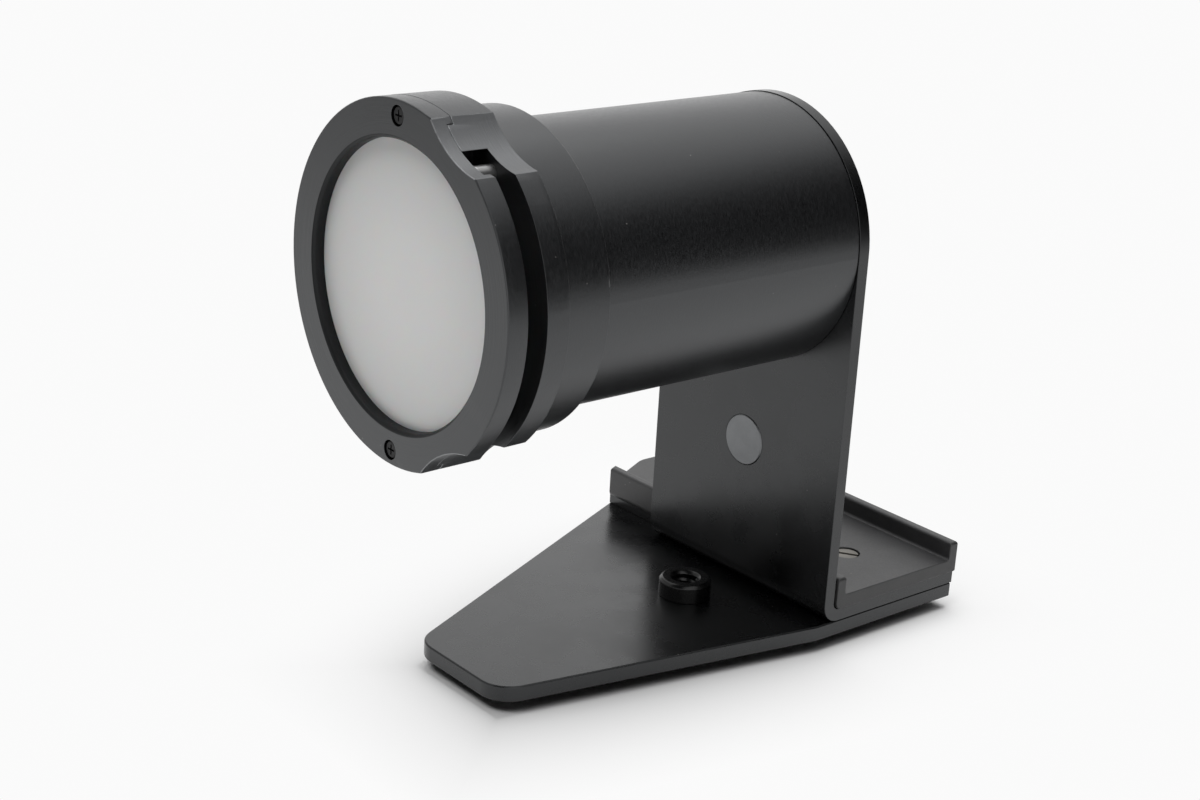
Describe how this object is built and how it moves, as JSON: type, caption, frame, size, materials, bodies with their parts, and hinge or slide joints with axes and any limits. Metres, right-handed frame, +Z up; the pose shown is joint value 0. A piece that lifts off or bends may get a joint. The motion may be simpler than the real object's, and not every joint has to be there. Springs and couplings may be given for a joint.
{
  "type": "slide duplicator",
  "caption": "Slide duplicator: a round slide stage with an opal diffuser on a light tube with a close-up lens, on a bent bracket over a base plate with a camera seat.",
  "frame": {"origin": "mouth of the tripod thread in the underside of the base plate", "axes": "+Z up along the tripod thread, +Y along the tube from the slide towards the camera, +X to the right of someone who faces the diffuser"},
  "size_m": [0.1049, 0.1555, 0.1409],
  "materials": {
    "anodised_plate": "fine matt black anodised sheet",
    "anodised_turned": "satin black anodised, fine turning grain",
    "anodised_inner": "dull black anodised",
    "badge_grey": "satin gunmetal, blank",
    "moulded_black": "fine grained moulding",
    "opal": "translucent opal, matt",
    "feet_rubber": "matt",
    "black_steel": "blackened",
    "nickel": "nickel plated, worn in the slot",
    "bright_steel": "polished",
    "spring_steel": "tempered strip",
    "bush_black": "blackened, polished edges",
    "glass_crown": "coated",
    "glass_flint": "coated"
  },
  "bodies": {
    "stand": {"base_plate": "anodised_plate", "base_screws": "black_steel", "rubber_feet": "feet_rubber", "tripod_bush": "bush_black", "bent_bracket": "anodised_plate", "blank_disc": "badge_grey", "camera_plate": "moulded_black", "camera_plate_screws": "nickel", "light_tube": "anodised_turned", "tube_screws": "black_steel", "tube_baffle": "anodised_inner", "tube_collar": "anodised_turned", "collar_grub_screw": "black_steel", "lens_crown": "glass_crown", "lens_flint": "glass_flint", "lens_cell": "anodised_inner", "lens_retaining_ring": "anodised_inner"},
    "slide_head": {"front_ring": "anodised_turned", "stage_ring": "anodised_turned", "head_grub_screws": "black_steel", "opal_diffuser": "opal", "diffuser_snap_ring": "spring_steel", "ring_screws": "black_steel", "guide_pins": "bright_steel", "slide_mask": "anodised_inner", "mask_screws": "black_steel", "spring_rivets": "black_steel"},
    "upper_spring": {"upper_leaf_spring": "spring_steel"},
    "lower_spring": {"lower_leaf_spring": "spring_steel"},
    "camera_screw": {"camera_screw": "bright_steel", "camera_screw_clip": "spring_steel"}
  },
  "joints": [
    {"name": "slide_head_turn", "type": "hinge", "parent": "stand", "child": "slide_head", "pos_m": [0, -0.0768, 0.0978], "axis": [0, 1, 0], "range_deg": [-90, 90]},
    {"name": "upper_spring_bend", "type": "hinge", "parent": "slide_head", "child": "upper_spring", "pos_m": [-0.0195, -0.0814, 0.12045], "axis": [0, 0, 1], "range_deg": [0, 2.8], "stiffness_Nm_per_rad": 0.1},
    {"name": "lower_spring_bend", "type": "hinge", "parent": "slide_head", "child": "lower_spring", "pos_m": [-0.0195, -0.0814, 0.07515], "axis": [0, 0, 1], "range_deg": [0, 2.8], "stiffness_Nm_per_rad": 0.1},
    {"name": "camera_screw_turn", "type": "hinge", "parent": "stand", "child": "camera_screw", "pos_m": [0, 0.04245, 0.008], "axis": [0, 0, 1], "continuous": true}
  ]
}
